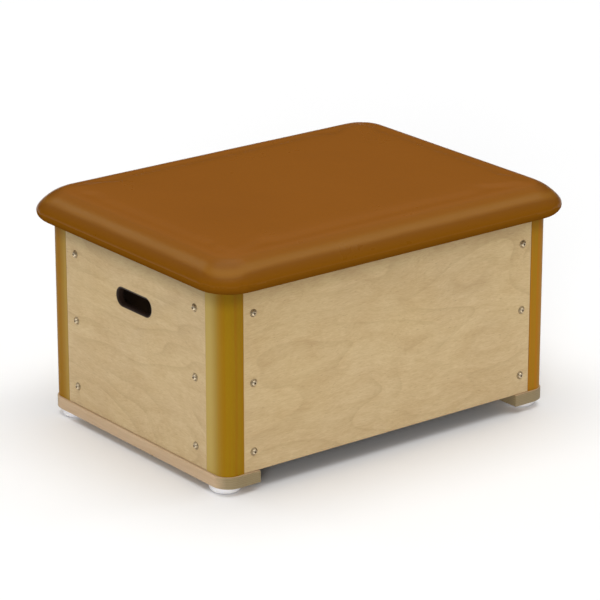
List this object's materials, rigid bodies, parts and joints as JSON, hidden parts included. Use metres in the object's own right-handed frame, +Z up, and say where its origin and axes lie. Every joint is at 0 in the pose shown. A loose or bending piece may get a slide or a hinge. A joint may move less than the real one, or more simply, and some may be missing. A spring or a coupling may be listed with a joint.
{
  "type": "vaulting box",
  "caption": "Low vaulting box: padded brown top on an open-bottomed plywood carcass with rounded corner posts, end rails, domed feet and hand holes in its ends.",
  "frame": {"origin": "on the floor, under the centre of the box", "axes": "+X along the long side towards the right end, +Y from the front to the back, +Z up"},
  "size_m": [0.832, 0.626, 0.4507],
  "materials": {
    "birch_ply": "satin clear lacquer",
    "post_wood": "golden ochre satin lacquer",
    "rail_wood": "satin clear lacquer",
    "cleat_timber": "bare planed timber",
    "board_ply": "bare plywood",
    "leather": "smooth brown, slight sheen",
    "foam": "open-cell foam",
    "white_rubber": "matt white",
    "steel": "nickel plated"
  },
  "bodies": {
    "root": {"back_cleat": "cleat_timber", "back_left_foot": "white_rubber", "back_left_foot_screw": "steel", "back_left_post": "post_wood", "back_left_rail_screw": "steel", "back_panel": "birch_ply", "back_panel_screw_left_1": "steel", "back_panel_screw_left_2": "steel", "back_panel_screw_left_3": "steel", "back_panel_screw_right_1": "steel", "back_panel_screw_right_2": "steel", "back_panel_screw_right_3": "steel", "back_right_foot": "white_rubber", "back_right_foot_screw": "steel", "back_right_post": "post_wood", "back_right_rail_screw": "steel", "front_cleat": "cleat_timber", "front_left_foot": "white_rubber", "front_left_foot_screw": "steel", "front_left_post": "post_wood", "front_left_rail_screw": "steel", "front_panel": "birch_ply", "front_panel_screw_left_1": "steel", "front_panel_screw_left_2": "steel", "front_panel_screw_left_3": "steel", "front_panel_screw_right_1": "steel", "front_panel_screw_right_2": "steel", "front_panel_screw_right_3": "steel", "front_right_foot": "white_rubber", "front_right_foot_screw": "steel", "front_right_post": "post_wood", "front_right_rail_screw": "steel", "left_cleat": "cleat_timber", "left_panel": "birch_ply", "left_panel_screw_left_1": "steel", "left_panel_screw_left_2": "steel", "left_panel_screw_left_3": "steel", "left_panel_screw_right_1": "steel", "left_panel_screw_right_2": "steel", "left_panel_screw_right_3": "steel", "left_rail": "rail_wood", "pad_board": "board_ply", "pad_cover": "leather", "pad_foam": "foam", "right_cleat": "cleat_timber", "right_panel": "birch_ply", "right_panel_screw_left_1": "steel", "right_panel_screw_left_2": "steel", "right_panel_screw_left_3": "steel", "right_panel_screw_right_1": "steel", "right_panel_screw_right_2": "steel", "right_panel_screw_right_3": "steel", "right_rail": "rail_wood", "top_screw_back_left": "steel", "top_screw_back_right": "steel", "top_screw_front_left": "steel", "top_screw_front_right": "steel", "top_screw_left_end": "steel", "top_screw_right_end": "steel"}
  },
  "joints": []
}
